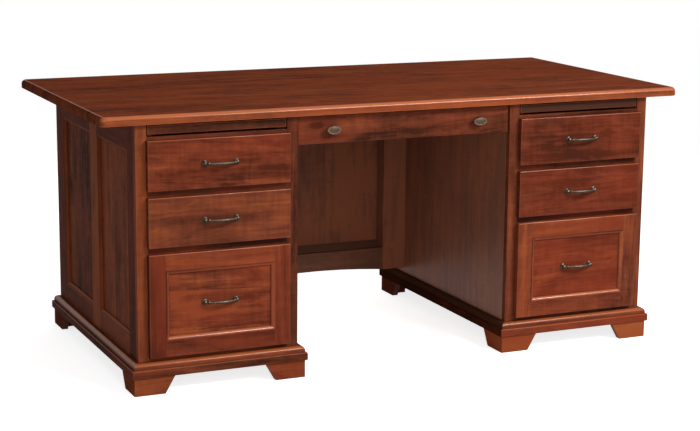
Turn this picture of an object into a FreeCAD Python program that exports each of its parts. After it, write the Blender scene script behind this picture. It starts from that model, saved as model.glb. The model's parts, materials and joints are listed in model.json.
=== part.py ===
import FreeCAD, Part
import math
import os

# A double pedestal desk in stained hardwood: seven drawers, two pull-out writing boards.
# Millimetres, +Z up, front towards -Y, origin on the floor under the middle of the bounding box.

Vector = FreeCAD.Vector

# Overall sizes
overall_width = 1815.0
overall_height = 778.0
pedestal_width = 472.0
pedestal_depth = 816.0

# Work top
top_thickness = 26.0
top_side_overhang = 98.5
top_front_overhang = 20.0
top_back_overhang = 46.0
top_edge_round = 15.0
top_under_ease = 2.0
top_corner_round = 18.0

# Boards of the two cases
case_board = 19.0
face_stile_width = 32.0
face_rail_height = 38.0
board_rail_height = 26.0
side_stile_width = 77.0
side_middle_stile_width = 73.0
side_top_rail_height = 80.0
side_bottom_rail_height = 97.0
back_stile_width = 62.0
panel_thickness = 7.0
panel_recess = 10.0
case_bottom_thickness = 12.0
case_bottom_height = 84.0

# Bead that lies round every framed panel
bead_width = 11.0
bead_height = 9.0
bead_lip_share = 0.2
bead_swell_share = 0.14

# Base: apron with a rounded shoulder, bead strip and bracket feet
base_top = 92.0
base_projection = 17.0
base_shoulder = 13.0
foot_height = 50.0
foot_board = 19.0
foot_length_at_floor = 89.0
foot_length_at_apron = 118.0
foot_block_side = 42.0
base_bead_height = 24.0
base_bead_projection = 6.0
base_bead_ease = 4.0

# Drawer fronts
front_thickness = 19.0
front_edge_round = 3.0
front_overlay = 3.0
front_gap = 0.5
front_reveal = 18.0
base_reveal = 12.0
box_front_height = 139.0
file_frame_width = 47.0
file_panel_recess = 8.0

# Writing boards
board_thickness = 24.5
board_depth = 480.0
board_side_clearance = 3.0
board_headroom = 5.0
board_finger_gap = 6.5
board_rail_reveal = 8.0
board_edge_round = 2.5
board_bearing = 20.0
guide_thickness = 7.0
guide_length = 610.0

# Drawer boxes
box_wall = 12.0
box_bottom_thickness = 6.0
box_bottom_rise = 9.0
box_depth = 560.0
box_lift = 10.0
box_headroom = 10.0

# Two-member steel slides, a case channel that holds a drawer channel
slide_pocket = 12.7
slide_height = 40.0
slide_length = 550.0
slide_sheet = 1.5
slide_flange = 9.5
running_gap = 0.3

# Centre pencil drawer
center_front_height = 80.0
center_front_side_gap = 3.0
center_front_top_gap = 4.0
center_front_setback = 6.0
center_box_height = 58.0
center_box_depth = 420.0
center_slide_length = 410.0

# Modesty panel at the back of the kneehole
modesty_setback = 691.0
modesty_board = 22.0
modesty_stile_width = 81.0
modesty_bottom = 109.0
modesty_rail_top = 184.0
modesty_top_rail_height = 110.0
modesty_arch_rise = 14.0
modesty_stop_width = 20.0
modesty_stop_depth = 32.0
modesty_panel_thickness = 12.0

# Bow pulls
pull_spacing = 92.0
pull_projection = 28.0
pull_bar_radius = 4.0
pull_rosette_radius = 9.5
pull_rosette_thickness = 4.0
pull_rosette_ease = 1.5
pull_ball_radius = 7.0

# Oval knobs
knob_end_distance = 102.0
knob_width = 44.0
knob_height = 26.0
knob_thickness = 9.0
knob_ease = 3.5
knob_stem_radius = 6.0
knob_stem_length = 13.0

# Distance by which cutting shapes overshoot, and the closeness that counts as the same place
overrun = 5.0
same_place = 0.01

# Largest share of a wall that a rounded edge may take
round_limit_share = 0.48

# Levels above the floor
case_top = overall_height - top_thickness
board_top = case_top - board_headroom
board_bottom = board_top - board_thickness
board_rail_top = board_bottom - board_finger_gap
upper_front_top = board_rail_top - board_rail_reveal
upper_front_bottom = upper_front_top - box_front_height
lower_front_top = upper_front_bottom - front_reveal
lower_front_bottom = lower_front_top - box_front_height
file_front_top = lower_front_bottom - front_reveal
file_front_bottom = base_top + base_reveal
center_front_top = case_top - center_front_top_gap
center_front_bottom = center_front_top - center_front_height

# Places across the desk, for the left pedestal; the right one is its mirror image
kneehole_width = overall_width - 2 * (pedestal_width + top_side_overhang)
inner_x = -kneehole_width / 2
outer_x = inner_x - pedestal_width
outer_wall_x = outer_x + case_board
inner_wall_x = inner_x - case_board
opening_left = outer_x + face_stile_width
opening_right = inner_x - face_stile_width
pedestal_middle = (outer_x + inner_x) / 2

# Places along the depth, with the bounding box centred on the origin
front_reach = front_gap + front_thickness + pull_projection
face_y = (front_reach - pedestal_depth - top_back_overhang) / 2
frame_back_y = face_y + case_board
back_y = face_y + pedestal_depth
back_inner_y = back_y - case_board
front_back_y = face_y - front_gap
front_face_y = front_back_y - front_thickness
center_face_y = face_y + center_front_setback
center_back_y = center_face_y + front_thickness
modesty_y = face_y + modesty_setback
modesty_back_y = modesty_y + modesty_board
modesty_panel_y = modesty_back_y + modesty_stop_depth

os.makedirs("parts", exist_ok=True)


def block(x_range, y_range, z_range):
    """Square-edged board between three pairs of limits."""
    sizes = [high - low for low, high in (x_range, y_range, z_range)]
    return Part.makeBox(*sizes, Vector(x_range[0], y_range[0], z_range[0]))


def mirrored(shape):
    """The same piece on the other side of the desk's middle plane."""
    return shape.mirror(Vector(0, 0, 0), Vector(1, 0, 0))


def rounded_edges(solid, radius, wall, chosen):
    """Round the edges that the test picks, by no more than a little under half of the wall."""
    limit = min(radius, wall * round_limit_share)
    edges = [edge for edge in solid.Edges if chosen(edge)]
    return solid.makeFillet(limit, edges)


def lies_at(edge, axis, value):
    """True where a whole edge lies at one value of one axis."""
    return all(abs(getattr(vertex, axis) - value) < same_place for vertex in edge.Vertexes)


def save(name, solids):
    """Write one node, as one solid or as a group of separate solids."""
    shape = solids[0] if len(solids) == 1 else Part.makeCompound(solids)
    shape.exportStep("parts/" + name + ".step")


def save_pair(name, solids):
    """Write the left node and its mirror image on the right."""
    save("left_" + name, solids)
    save("right_" + name, [mirrored(solid) for solid in solids])


def mitred_strip(profile, length, width, flare):
    """Moulding along X whose ends are cut at 45 degrees, wider (+1) or narrower (-1) away from Y zero."""
    bar = profile.extrude(Vector(length + 2 * (width + overrun), 0, 0))
    bar.translate(Vector(-width - overrun, 0, 0))
    reach = flare * width
    plan = [Vector(0, 0, 0), Vector(length, 0, 0), Vector(length + reach, width, 0), Vector(-reach, width, 0)]
    depth = profile.BoundBox.ZMax + overrun
    cutter = Part.Face(Part.makePolygon(plan + plan[:1])).extrude(Vector(0, 0, depth))
    return bar.common(cutter).Solids[0]


def mitred_ring(profile, width, centre, normal, side, half_side, half_other, flare):
    """Four mitred strips round a rectangle, growing outwards (+1) or inwards (-1) from it."""
    other = normal.cross(side)
    runs = ((side, half_side, half_other), (other, half_other, half_side))
    strips = []
    for direction, half_across, half_along in runs:
        for toward in (direction, direction * -1):
            across = toward * flare
            along = across.cross(normal)
            strip = mitred_strip(profile, 2 * half_along, width, flare)
            turn = FreeCAD.Rotation(along, across, normal, "XYZ")
            start = centre + toward * half_across - along * half_along
            strip.Placement = FreeCAD.Placement(start, turn)
            strips.append(strip)
    return strips


def bead_profile():
    """Cross-section of the bead round a panel: tall at the frame, rounding down to a low lip on the panel."""
    low_outer, low_inner = Vector(0, 0, 0), Vector(0, bead_width, 0)
    high_outer = Vector(0, 0, bead_height)
    high_inner = Vector(0, bead_width, bead_height * bead_lip_share)
    chord = high_outer - high_inner
    crown = (high_outer + high_inner) / 2 + Vector(0, chord.z, -chord.y) * bead_swell_share
    outline = [Part.makeLine(low_outer, low_inner), Part.makeLine(low_inner, high_inner),
               Part.Arc(high_inner, crown, high_outer).toShape(), Part.makeLine(high_outer, low_outer)]
    return Part.Face(Part.Wire(outline))


def panel_bead(centre, normal, side, half_side, half_other):
    """Bead strips that lie on a panel along the inner edges of its frame."""
    return mitred_ring(bead_profile(), bead_width, centre, normal, side, half_side, half_other, -1)


def make_top():
    """Work top with a large round-over on the upper edge and eased corners."""
    half_width = overall_width / 2
    top = block((-half_width, half_width),
                (face_y - top_front_overhang, back_y + top_back_overhang),
                (case_top, overall_height))
    corners = [edge for edge in top.Edges if abs(edge.BoundBox.ZLength - top_thickness) < same_place]
    top = top.makeFillet(top_corner_round, corners)
    top = rounded_edges(top, top_edge_round, top_thickness, lambda edge: lies_at(edge, "Z", overall_height))
    top = rounded_edges(top, top_under_ease, top_thickness, lambda edge: lies_at(edge, "Z", case_top))
    save("desk_top", [top])


def make_outer_side():
    """Outer side of a case: three stiles, rails between them, two tall panels and their beads."""
    wall = (outer_x, outer_wall_x)
    front_stile_end = face_y + side_stile_width
    back_stile_start = back_y - side_stile_width
    middle = (front_stile_end + back_stile_start) / 2
    middle_start = middle - side_middle_stile_width / 2
    middle_end = middle + side_middle_stile_width / 2
    panel_low = foot_height + side_bottom_rail_height
    panel_high = case_top - side_top_rail_height
    full_height = (foot_height, case_top)
    frame = [block(wall, (frame_back_y, front_stile_end), full_height),
             block(wall, (middle_start, middle_end), full_height),
             block(wall, (back_stile_start, back_y), full_height)]
    panels = []
    beads = []
    panel_face = outer_x + panel_recess
    for bay in ((front_stile_end, middle_start), (middle_end, back_stile_start)):
        frame.append(block(wall, bay, (foot_height, panel_low)))
        frame.append(block(wall, bay, (panel_high, case_top)))
        panels.append(block((panel_face, panel_face + panel_thickness), bay, (panel_low, panel_high)))
        centre = Vector(panel_face, sum(bay) / 2, (panel_low + panel_high) / 2)
        half_bay = (bay[1] - bay[0]) / 2
        half_height = (panel_high - panel_low) / 2
        beads += panel_bead(centre, Vector(-1, 0, 0), Vector(0, 1, 0), half_bay, half_height)
    save_pair("outer_side_frame", frame)
    save_pair("outer_side_panels", panels)
    save_pair("outer_side_beads", beads)


def make_inner_side():
    """Plain kneehole side of a case."""
    save_pair("inner_side", [block((inner_wall_x, inner_x), (frame_back_y, back_y), (foot_height, case_top))])


def rail_levels():
    """Lower and upper edges of the four face-frame rails, from the floor up."""
    half_rail = face_rail_height / 2
    file_middle = file_front_top + front_reveal / 2
    box_middle = lower_front_top + front_reveal / 2
    overlap = half_rail - front_reveal / 2
    return ((foot_height, file_front_bottom + overlap),
            (file_middle - half_rail, file_middle + half_rail),
            (box_middle - half_rail, box_middle + half_rail),
            (board_rail_top - board_rail_height, board_rail_top))


def make_face_frame():
    """Front frame of a case: two stiles and the rails between the drawers."""
    thickness = (face_y, frame_back_y)
    frame = [block((outer_x, opening_left), thickness, (foot_height, case_top)),
             block((opening_right, inner_x), thickness, (foot_height, case_top))]
    frame += [block((opening_left, opening_right), thickness, level) for level in rail_levels()]
    save_pair("face_frame", frame)


def make_back():
    """Framed back of a case with one tall panel and its bead."""
    wall = (back_inner_y, back_y)
    panel_left = outer_wall_x + back_stile_width
    panel_right = inner_wall_x - back_stile_width
    panel_low = foot_height + side_bottom_rail_height
    panel_high = case_top - side_top_rail_height
    bay = (panel_left, panel_right)
    frame = [block((outer_wall_x, panel_left), wall, (foot_height, case_top)),
             block((panel_right, inner_wall_x), wall, (foot_height, case_top)),
             block(bay, wall, (foot_height, panel_low)),
             block(bay, wall, (panel_high, case_top))]
    panel_face = back_y - panel_recess
    panel = block(bay, (panel_face - panel_thickness, panel_face), (panel_low, panel_high))
    centre = Vector(sum(bay) / 2, panel_face, (panel_low + panel_high) / 2)
    half_bay = (panel_right - panel_left) / 2
    half_height = (panel_high - panel_low) / 2
    bead = panel_bead(centre, Vector(0, 1, 0), Vector(1, 0, 0), half_bay, half_height)
    save_pair("back_frame", frame)
    save_pair("back_panel", [panel] + bead)


def make_case_bottoms():
    """Floor of each case, under the file drawer."""
    floor = block((outer_wall_x, inner_wall_x), (frame_back_y, back_inner_y),
                  (case_bottom_height, case_bottom_height + case_bottom_thickness))
    save("case_bottoms", [floor, mirrored(floor)])


def apron_profile():
    """Cross-section of the apron: upright face under a rounded shoulder."""
    height = base_top - foot_height
    shoulder = min(base_shoulder, 2 * base_projection * round_limit_share, height / 2)
    back_low = Vector(0, 0, 0)
    front_low = Vector(0, base_projection, 0)
    arc_start = Vector(0, base_projection, height - shoulder)
    arc_end = Vector(0, base_projection - shoulder, height)
    centre = Vector(0, base_projection - shoulder, height - shoulder)
    lean = shoulder * math.sqrt(0.5)
    arc = Part.Arc(arc_start, centre + Vector(0, lean, lean), arc_end).toShape()
    back_high = Vector(0, 0, height)
    outline = [Part.makeLine(back_low, front_low), Part.makeLine(front_low, arc_start), arc,
               Part.makeLine(arc_end, back_high), Part.makeLine(back_high, back_low)]
    return Part.Face(Part.Wire(outline))


def base_bead_profile():
    """Cross-section of the strip round the foot of the apron: upright face between two rounded edges."""
    height, reach = base_bead_height, base_bead_projection
    ease = min(base_bead_ease, 2 * reach * round_limit_share, height * round_limit_share)
    inner = reach - ease
    lean = ease * math.sqrt(0.5)
    back_low, back_high = Vector(0, 0, 0), Vector(0, 0, height)
    low_start, low_end = Vector(0, inner, 0), Vector(0, reach, ease)
    high_start, high_end = Vector(0, reach, height - ease), Vector(0, inner, height)
    low_round = Part.Arc(low_start, Vector(0, inner + lean, ease - lean), low_end).toShape()
    high_round = Part.Arc(high_start, Vector(0, inner + lean, height - ease + lean), high_end).toShape()
    outline = [Part.makeLine(back_low, low_start), low_round, Part.makeLine(low_end, high_start), high_round,
               Part.makeLine(high_end, back_high), Part.makeLine(back_high, back_low)]
    return Part.Face(Part.Wire(outline))


def make_base():
    """Apron, bead strip and bracket feet round the foot of a case."""
    middle = Vector(pedestal_middle, (face_y + back_y) / 2, foot_height)
    half_width, half_depth = pedestal_width / 2, pedestal_depth / 2
    up, across = Vector(0, 0, 1), Vector(1, 0, 0)
    apron = mitred_ring(apron_profile(), base_projection, middle, up, across, half_width, half_depth, 1)
    bead = mitred_ring(base_bead_profile(), base_bead_projection, middle, up, across,
                       half_width + base_projection, half_depth + base_projection, 1)
    save_pair("base_apron", apron)
    save_pair("base_bead", bead)
    feet = []
    for x_sign in (-1, 1):
        for y_sign in (-1, 1):
            corner = Vector(pedestal_middle + x_sign * (half_width + base_projection),
                            middle.y + y_sign * (half_depth + base_projection), 0)
            feet += bracket_foot(corner, Vector(-x_sign, 0, 0), Vector(0, -y_sign, 0))
    save_pair("bracket_feet", feet)


def bracket_foot(corner, inward_x, inward_y):
    """Two boards mitred at the corner, each with a slanted end, and the glue block behind them."""
    solids = []
    up = Vector(0, 0, foot_height)
    for along, across in ((inward_x, inward_y), (inward_y, inward_x)):
        outline = [corner, corner + along * foot_length_at_floor,
                   corner + along * foot_length_at_apron + up, corner + up]
        board = Part.Face(Part.makePolygon(outline + outline[:1])).extrude(across * foot_board)
        far = along * foot_length_at_apron
        mitre = [corner, corner + far, corner + far + across * foot_board,
                 corner + (along + across) * foot_board]
        cutter = Part.Face(Part.makePolygon(mitre + mitre[:1])).extrude(up)
        solids.append(board.common(cutter).Solids[0])
    near = corner + (inward_x + inward_y) * foot_board
    far = near + (inward_x + inward_y) * foot_block_side + up
    limits = [sorted(pair) for pair in zip(near, far)]
    solids.append(block(*limits))
    return solids


def make_guides():
    """Strips that carry and hold down the writing boards; the upper ones also hold the top."""
    depth = (frame_back_y, frame_back_y + guide_length)
    left_reach = (outer_wall_x, opening_left + board_side_clearance + board_bearing)
    right_reach = (opening_right - board_side_clearance - board_bearing, inner_wall_x)
    runner_top = board_bottom - running_gap
    strips = []
    for reach in (left_reach, right_reach):
        strips.append(block(reach, depth, (runner_top - guide_thickness, runner_top)))
        strips.append(block(reach, depth, (board_top + running_gap, case_top)))
    save("writing_board_guides", strips + [mirrored(strip) for strip in strips])


def make_writing_boards():
    """Sliding boards above the drawers, with an eased front edge."""
    board = block((opening_left + board_side_clearance, opening_right - board_side_clearance),
                  (face_y, face_y + board_depth), (board_bottom, board_top))
    board = rounded_edges(board, board_edge_round, board_thickness, lambda edge: lies_at(edge, "Y", face_y))
    save_pair("writing_board", [board])


def eased_front(x_range, z_range, face):
    """Slab front whose visible edges are rounded."""
    slab = block(x_range, (face, face + front_thickness), z_range)
    return rounded_edges(slab, front_edge_round, front_thickness, lambda edge: lies_at(edge, "Y", face))


def drawer_box(x_range, z_range, front, depth):
    """Two sides, a front wall, a back wall and a bottom let in between them."""
    left, right = x_range
    back = front + depth
    between = (left + box_wall, right - box_wall)
    walls = [block((left, left + box_wall), (front, back), z_range),
             block((right - box_wall, right), (front, back), z_range),
             block(between, (front, front + box_wall), z_range),
             block(between, (back - box_wall, back), z_range)]
    floor = z_range[0] + box_bottom_rise
    inside = (front + box_wall, back - box_wall)
    return walls + [block(between, inside, (floor, floor + box_bottom_thickness))]


def channel(web_x, toward, height, middle, y_range):
    """Folded channel: an upright web with a flange at its top and bottom, open towards one side."""
    low, high = middle - height / 2, middle + height / 2
    web = sorted((web_x, web_x + toward * slide_sheet))
    reach = sorted((web_x, web_x + toward * slide_flange))
    flanges = [block(reach, y_range, (low, low + slide_sheet)),
               block(reach, y_range, (high - slide_sheet, high))]
    return block(web, y_range, (low, high)).multiFuse(flanges).removeSplitter().Solids[0]


def slide_pair(wall_x, toward, middle, y_range):
    """Case channel against a wall and the drawer channel that runs inside it."""
    case_member = channel(wall_x, toward, slide_height, middle, y_range)
    inner_height = slide_height - 2 * (slide_sheet + running_gap)
    drawer_member = channel(wall_x + toward * slide_pocket, -toward, inner_height, middle, y_range)
    return case_member, drawer_member


def make_pull(centre):
    """Cast bow pull: two rosettes with ball ends and a curved bar between them."""
    half = pull_spacing / 2
    out = Vector(0, -1, 0)
    ball_reach = out * (pull_rosette_thickness + pull_ball_radius / 2)
    solids = []
    for sign in (-1, 1):
        seat = centre + Vector(sign * half, 0, 0)
        disc = Part.makeCylinder(pull_rosette_radius, pull_rosette_thickness, seat, out)
        rim_y = seat.y - pull_rosette_thickness
        disc = rounded_edges(disc, pull_rosette_ease, pull_rosette_thickness,
                             lambda edge: lies_at(edge, "Y", rim_y))
        solids += [disc, Part.makeSphere(pull_ball_radius, seat + ball_reach)]
    crown = centre + out * (pull_projection - pull_bar_radius)
    ends = [centre + Vector(sign * half, 0, 0) + ball_reach for sign in (-1, 1)]
    path = Part.Arc(ends[0], crown, ends[1]).toShape()
    heading = path.tangentAt(path.FirstParameter)
    section = Part.Wire(Part.makeCircle(pull_bar_radius, ends[0], heading))
    bar = Part.Wire(path).makePipeShell([section], True, True)
    return solids[0].multiFuse(solids[1:] + [bar]).removeSplitter().Solids[0]


def make_knob(seat):
    """Oval knob on a short round stem."""
    out = Vector(0, -1, 0)
    back = seat + out * knob_stem_length
    stem = Part.makeCylinder(knob_stem_radius, knob_stem_length, seat, out)
    major = back + Vector(knob_width / 2, 0, 0)
    minor = back + Vector(0, 0, knob_height / 2)
    rim = Part.Wire(Part.Ellipse(major, minor, back).toShape())
    oval = Part.Face(rim).extrude(out * knob_thickness)
    face = back.y - knob_thickness
    oval = rounded_edges(oval, knob_ease, knob_thickness, lambda edge: lies_at(edge, "Y", face))
    return stem.fuse(oval).removeSplitter().Solids[0]


def file_front(x_range, z_range):
    """Framed file-drawer front: stiles and rails, a recessed panel and its bead."""
    (left, right), (low, high) = x_range, z_range
    inner_left, inner_right = left + file_frame_width, right - file_frame_width
    inner_low, inner_high = low + file_frame_width, high - file_frame_width
    depth = (front_face_y, front_back_y)
    frame = []
    for across, joint in (((left, inner_left), inner_left), ((inner_right, right), inner_right)):
        stile = block(across, depth, z_range)
        frame.append(rounded_edges(
            stile, front_edge_round, front_thickness,
            lambda edge: lies_at(edge, "Y", front_face_y) and not lies_at(edge, "X", joint)))
    for upright, outside in (((low, inner_low), low), ((inner_high, high), high)):
        rail = block((inner_left, inner_right), depth, upright)
        frame.append(rounded_edges(
            rail, front_edge_round, front_thickness,
            lambda edge: lies_at(edge, "Y", front_face_y) and lies_at(edge, "Z", outside)))
    panel_face = front_face_y + file_panel_recess
    panel = block((inner_left, inner_right), (panel_face, front_back_y), (inner_low, inner_high))
    centre = Vector((left + right) / 2, panel_face, (low + high) / 2)
    half_width, half_height = (inner_right - inner_left) / 2, (inner_high - inner_low) / 2
    bead = panel_bead(centre, Vector(0, -1, 0), Vector(1, 0, 0), half_width, half_height)
    return frame, [panel] + bead, panel_face


def make_pedestal_drawers():
    """Two box drawers and a file drawer in each pedestal, with their slides and pulls."""
    rails = rail_levels()
    front_x = (opening_left - front_overlay, opening_right + front_overlay)
    box_x = (opening_left + slide_pocket, opening_right - slide_pocket)
    slide_y = (frame_back_y, frame_back_y + slide_length)
    drawers = (("file_drawer", (file_front_bottom, file_front_top), (rails[0][1], rails[1][0])),
               ("lower_drawer", (lower_front_bottom, lower_front_top), (rails[1][1], rails[2][0])),
               ("upper_drawer", (upper_front_bottom, upper_front_top), (rails[2][1], rails[3][0])))
    case_members = []
    cleats = []
    for name, front_z, opening_z in drawers:
        box_z = (opening_z[0] + box_lift, opening_z[1] - box_headroom)
        slide_middle = sum(box_z) / 2
        pull_middle = Vector(pedestal_middle, front_face_y, sum(front_z) / 2)
        if name == "file_drawer":
            frame, panel, pull_middle.y = file_front(front_x, front_z)
            save_pair(name + "_front_panel", panel)
            save_pair(name + "_front_frame", frame)
        else:
            save_pair(name + "_front", [eased_front(front_x, front_z, front_face_y)])
        save_pair(name + "_box", drawer_box(box_x, box_z, front_back_y, box_depth))
        save_pair(name + "_pull", [make_pull(pull_middle)])
        members = []
        for wall_x, toward, case_wall in ((opening_left, 1, outer_wall_x), (opening_right, -1, inner_wall_x)):
            case_member, drawer_member = slide_pair(wall_x, toward, slide_middle, slide_y)
            case_members.append(case_member)
            members.append(drawer_member)
            half_cleat = slide_height / 2
            cleats.append(block(sorted((wall_x, case_wall)), slide_y,
                                (slide_middle - half_cleat, slide_middle + half_cleat)))
        save_pair(name + "_slides", members)
    save("slide_cleats", cleats + [mirrored(cleat) for cleat in cleats])
    return case_members + [mirrored(member) for member in case_members]


def make_center_drawer():
    """Shallow pencil drawer between the pedestals, with two oval knobs."""
    half_front = kneehole_width / 2 - center_front_side_gap
    half_box = kneehole_width / 2 - slide_pocket
    middle = (center_front_top + center_front_bottom) / 2
    front_z = (center_front_bottom, center_front_top)
    box_z = (middle - center_box_height / 2, middle + center_box_height / 2)
    save("center_drawer_front", [eased_front((-half_front, half_front), front_z, center_face_y)])
    save("center_drawer_box", drawer_box((-half_box, half_box), box_z, center_back_y, center_box_depth))
    knob_x = half_front - knob_end_distance
    save("center_drawer_knobs", [make_knob(Vector(x, center_face_y, middle)) for x in (-knob_x, knob_x)])
    slide_y = (center_back_y, center_back_y + center_slide_length)
    case_member, drawer_member = slide_pair(inner_x, 1, middle, slide_y)
    save("center_drawer_slides", [drawer_member, mirrored(drawer_member)])
    return [case_member, mirrored(case_member)]


def make_modesty():
    """Back of the kneehole: stiles, a top rail, an arched bottom rail, stops and a panel behind them."""
    half = kneehole_width / 2
    half_bay = half - modesty_stile_width
    depth = (modesty_y, modesty_back_y)
    high = case_top - modesty_top_rail_height
    stile = block((-half, -half_bay), depth, (modesty_bottom, case_top))
    top_rail = block((-half_bay, half_bay), depth, (high, case_top))
    low_left = Vector(-half_bay, modesty_y, modesty_bottom)
    low_right = Vector(half_bay, modesty_y, modesty_bottom)
    up = Vector(0, 0, modesty_rail_top - modesty_bottom)
    crown = Vector(0, modesty_y, modesty_bottom + modesty_arch_rise)
    outline = [Part.Arc(low_left, crown, low_right).toShape(), Part.makeLine(low_right, low_right + up),
               Part.makeLine(low_right + up, low_left + up), Part.makeLine(low_left + up, low_left)]
    arched_rail = Part.Face(Part.Wire(outline)).extrude(Vector(0, modesty_board, 0))
    stop_depth = (modesty_back_y, modesty_panel_y)
    edge = half_bay + modesty_stop_width
    side_stop = block((-edge, -half_bay), stop_depth, (modesty_rail_top, high))
    low_stop = block((-edge, edge), stop_depth, (modesty_rail_top - modesty_stop_width, modesty_rail_top))
    high_stop = block((-edge, edge), stop_depth, (high, high + modesty_stop_width))
    stops = [side_stop, mirrored(side_stop), low_stop, high_stop]
    save("modesty_frame", [stile, mirrored(stile), top_rail] + stops)
    save("modesty_arched_rail", [arched_rail])
    panel = block((-edge, edge), (modesty_panel_y, modesty_panel_y + modesty_panel_thickness),
                  (modesty_rail_top - modesty_stop_width, high + modesty_stop_width))
    save("modesty_panel", [panel])


make_top()
make_outer_side()
make_inner_side()
make_face_frame()
make_back()
make_case_bottoms()
make_base()
make_guides()
make_writing_boards()
fixed_channels = make_pedestal_drawers()
fixed_channels += make_center_drawer()
save("slide_case_members", fixed_channels)
make_modesty()
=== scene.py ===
"""Finished look of a pedestal desk in stained hardwood, built board by board round its CAD frame.

Metres, +Z up, the sitter's side towards -Y. A board takes its place from its CAD solid; what is added here
is the easing of its edges, the run of its grain, the finishes, the hardware's detail and the studio.
"""
import json
import math
import random

import bmesh
import bpy
from bpy.props import FloatProperty, FloatVectorProperty, IntProperty, PointerProperty
from mathutils import Matrix, Vector

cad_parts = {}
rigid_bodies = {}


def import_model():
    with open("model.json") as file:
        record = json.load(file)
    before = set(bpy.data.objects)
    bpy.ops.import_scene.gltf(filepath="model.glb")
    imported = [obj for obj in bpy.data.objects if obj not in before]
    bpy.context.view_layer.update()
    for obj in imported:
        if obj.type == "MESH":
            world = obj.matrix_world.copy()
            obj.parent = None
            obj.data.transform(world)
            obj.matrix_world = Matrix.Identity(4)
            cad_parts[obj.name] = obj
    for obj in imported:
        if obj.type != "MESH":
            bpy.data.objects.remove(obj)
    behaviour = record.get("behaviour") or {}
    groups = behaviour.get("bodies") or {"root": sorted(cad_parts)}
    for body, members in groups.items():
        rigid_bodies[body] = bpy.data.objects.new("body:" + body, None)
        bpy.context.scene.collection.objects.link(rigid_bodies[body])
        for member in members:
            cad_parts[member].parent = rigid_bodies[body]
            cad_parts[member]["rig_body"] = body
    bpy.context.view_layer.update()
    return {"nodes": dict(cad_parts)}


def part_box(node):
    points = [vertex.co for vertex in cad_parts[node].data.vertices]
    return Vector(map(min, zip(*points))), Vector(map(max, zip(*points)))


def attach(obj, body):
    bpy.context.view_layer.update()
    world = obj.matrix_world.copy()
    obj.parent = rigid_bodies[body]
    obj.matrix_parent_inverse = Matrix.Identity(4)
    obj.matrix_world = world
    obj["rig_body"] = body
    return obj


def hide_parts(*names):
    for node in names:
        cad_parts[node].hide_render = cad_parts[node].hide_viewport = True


bl_info = {
    "name": "Pedestal desk",
    "version": (1, 0, 0),
    "blender": (4, 5, 0),
    "location": "View3D > Sidebar > Desk",
    "description": "Builds the finished boards, drawers and hardware of a pedestal desk",
    "category": "Add Mesh",
}

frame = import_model()

SIDES = ("left", "right")
MM = 0.001
# Vertices of one solid that lie nearer than this are the same corner.
WELD = MM * MM
# What lies nearer than this touches.
TOUCH = MM / 100
# Faces that meet more steeply than CREASE have a sharp edge between them; below FLAT they are one face.
CREASE = math.radians(40)
FLAT = math.radians(1)
TURNED_STEPS = 32


def linear(hex_colour):
    """An sRGB hex value as linear red, green and blue, with full alpha."""
    channels = [int(hex_colour[i:i + 2], 16) / 255 for i in (1, 3, 5)]
    return (*[c / 12.92 if c <= 0.04045 else ((c + 0.055) / 1.055) ** 2.4 for c in channels], 1.0)


def length(name, description, default):
    """A size in metres that the sidebar shows with its unit."""
    return FloatProperty(name=name, description=description, default=default, min=0.0,
                         precision=5, subtype="DISTANCE", unit="LENGTH")


def steps(name, description, default):
    """A number of facets."""
    return IntProperty(name=name, description=description, default=default, min=1)


def colour(name, description, default):
    """A colour given as an sRGB hex value."""
    return FloatVectorProperty(name=name, description=description, default=linear(default),
                               size=4, min=0.0, max=1.0, subtype="COLOR")


def angle(name, description, default):
    """A turn in radians that the sidebar shows with its unit."""
    return FloatProperty(name=name, description=description, default=default,
                         subtype="ANGLE", unit="ROTATION")


def power(name, description, default):
    """The power of a lamp in watts."""
    return FloatProperty(name=name, description=description, default=default,
                         subtype="POWER", unit="POWER")


class DeskSizes(bpy.types.PropertyGroup):
    """Sizes of the detail that the finished boards and the hardware have beyond the CAD frame"""

    board_ease: length("Board ease", "Easing along the edges of every board", 0.8 * MM)
    ease_steps: steps("Ease steps", "Facets across an eased edge", 2)
    front_round: length("Front rounding", "Rounding along the outline of the drawer fronts", 1.8 * MM)
    round_steps: steps("Rounding steps", "Facets across the rounding of the drawer fronts", 3)
    plank_width: length("Plank width", "Width of the planks that wide boards are glued up from", 105 * MM)
    pull_collar: length("Pull collar", "Radius of the ring where the pull's bar leaves its foot", 5.7 * MM)
    pull_neck: length("Pull neck", "Radius of the pull's bar beside its collars", 4.3 * MM)
    pull_middle: length("Pull middle", "Radius of the pull's bar at the middle of its bow", 5.0 * MM)
    sill_height: length("Sill height", "Height of the strip along the foot of the modesty panel", 17 * MM)
    sill_depth: length("Sill depth", "Depth of the strip along the foot of the modesty panel", 30 * MM)
    sill_lip: length("Sill lip", "Flat edge on each side of that strip's slope", 2 * MM)
    knob_length: length("Knob length", "Length of the knob's oval head", 44 * MM)
    knob_stem: length("Knob stem", "Radius of the knob's stem", 6 * MM)
    knob_head: length("Knob head", "Thickness of the knob's oval head", 9 * MM)


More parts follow.
